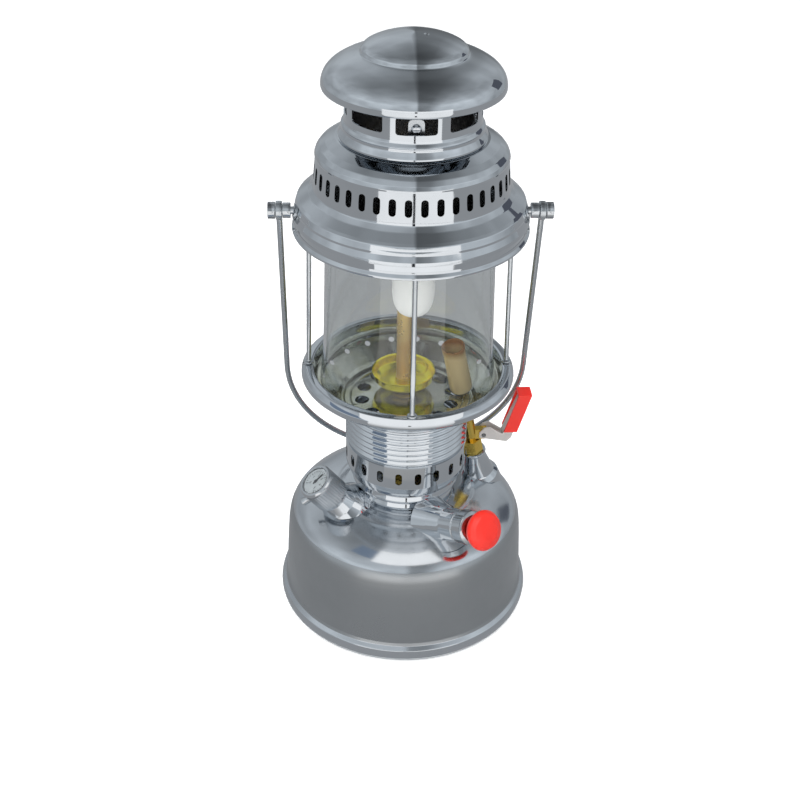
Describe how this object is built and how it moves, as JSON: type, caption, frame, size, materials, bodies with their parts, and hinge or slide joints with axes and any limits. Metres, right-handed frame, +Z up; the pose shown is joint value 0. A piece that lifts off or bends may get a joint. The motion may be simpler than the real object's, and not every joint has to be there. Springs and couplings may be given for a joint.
{
  "type": "paraffin pressure lantern",
  "caption": "Chromed tabletop pressure lantern with a round fuel tank, pump, filler cap, perforated collar, glass chimney with a mantle, vented hood and swinging bail.",
  "frame": {"origin": "centre of the underside of the tank foot, at table level", "axes": "+Z up along the lantern axis, -Y towards the viewer of the picture, +X to the right"},
  "size_m": [0.17, 0.17, 0.3916],
  "materials": {
    "chrome": "polished chrome plate",
    "satin_chrome": "chrome plate, duller on the tank wall",
    "brass": "bare brass, brighter on the spirit cup",
    "steel": "plain steel sheet and bar",
    "red_plastic": "glossy red",
    "glass": "clear glass",
    "mantle_cloth": "white woven mantle",
    "ceramic": "matt off-white ceramic",
    "leather": "oiled leather",
    "rubber": "black rubber",
    "dial_card": "white card",
    "needle_black": "matt black"
  },
  "bodies": {
    "lantern": {"pump_cap": "chrome", "pump_seat": "chrome", "pump_barrel": "brass", "pump_check_valve": "brass", "filler_neck": "brass", "filler_seat": "chrome", "preheater_boss": "chrome", "preheater_body": "brass", "preheater_tube": "brass", "preheater_pin": "steel", "tank_shell": "satin_chrome", "tank_bottom": "steel", "neck_collar": "chrome", "dish": "chrome", "rod_front": "chrome", "rod_right": "chrome", "rod_rear": "chrome", "rod_left": "chrome", "top_ring": "steel", "glass_chimney": "glass", "hood_skirt": "chrome", "hood_collar": "chrome", "hood_cap": "chrome", "inner_casing": "steel", "casing_screw": "steel", "mixing_chamber": "brass", "mixing_tube": "steel", "burner_nozzle": "ceramic", "mantle": "mantle_cloth", "valve_body": "brass", "pickup_tube": "brass", "vaporizer_tube": "brass", "jet": "brass", "spirit_cup": "brass", "bail_stud_left": "steel", "bail_nut_left": "chrome", "bail_stud_right": "steel", "bail_nut_right": "chrome"},
    "bail": {"bail": "chrome"},
    "pump_plunger": {"pump_rod": "steel", "pump_knob": "red_plastic", "pump_piston": "steel", "pump_leather": "leather"},
    "filler_washer": {"filler_gasket": "rubber"},
    "filler_cap": {"filler_cap": "chrome", "gauge_dial": "dial_card", "gauge_lens": "glass"},
    "release_screw": {"release_screw": "brass"},
    "gauge_needle": {"gauge_needle": "needle_black"},
    "control_wheel": {"control_spindle": "steel", "control_wheel": "red_plastic", "wheel_screw": "steel"},
    "needle_rod": {"needle_rod": "steel"},
    "preheater_lever": {"preheater_lever": "steel", "preheater_grip": "red_plastic"}
  },
  "joints": [
    {"name": "bail_swing", "type": "hinge", "parent": "lantern", "child": "bail", "pos_m": [0, 0, 0.28506], "axis": [1, 0, 0], "range_deg": [0, 318]},
    {"name": "pump_stroke", "type": "slide", "parent": "lantern", "child": "pump_plunger", "axis": [0.6204, -0.689, 0.3746], "range_m": [0, 0.06]},
    {"name": "filler_cap_lift", "type": "slide", "parent": "lantern", "child": "filler_washer", "axis": [-0.5454, -0.2543, 0.7986], "range_m": [0, 0.003]},
    {"name": "filler_cap_turn", "type": "hinge", "parent": "filler_washer", "child": "filler_cap", "pos_m": [-0.05981, -0.02789, 0.10799], "axis": [-0.5454, -0.2543, 0.7986], "range_deg": [0, 720]},
    {"name": "release_screw_turn", "type": "hinge", "parent": "filler_cap", "child": "release_screw", "pos_m": [-0.06316, -0.02492, 0.09162], "axis": [-0.8247, -0.0072, -0.5655], "range_deg": [0, 360]},
    {"name": "gauge_needle_swing", "type": "hinge", "parent": "filler_cap", "child": "gauge_needle", "pos_m": [-0.05981, -0.02789, 0.10799], "axis": [-0.5454, -0.2543, 0.7986], "range_deg": [-270, 0], "stiffness_Nm_per_rad": 0.00002},
    {"name": "control_wheel_turn", "type": "hinge", "parent": "lantern", "child": "control_wheel", "pos_m": [-0.002, 0.058, 0.1188], "axis": [0, 1, 0], "range_deg": [0, 180]},
    {"name": "needle_lift", "type": "slide", "parent": "lantern", "child": "needle_rod", "axis": [0, 0, 1], "range_m": [0, 0.002]},
    {"name": "preheater_lever_swing", "type": "hinge", "parent": "lantern", "child": "preheater_lever", "pos_m": [0.05213, 0.01089, 0.11821], "axis": [-0.0349, 0.9994, 0], "range_deg": [0, 50]}
  ],
  "couplings": [
    {"joint": "filler_cap_lift", "follows": "filler_cap_turn", "m_per_rad": 0.000238},
    {"joint": "needle_lift", "follows": "control_wheel_turn", "m_per_rad": 0.00063}
  ]
}
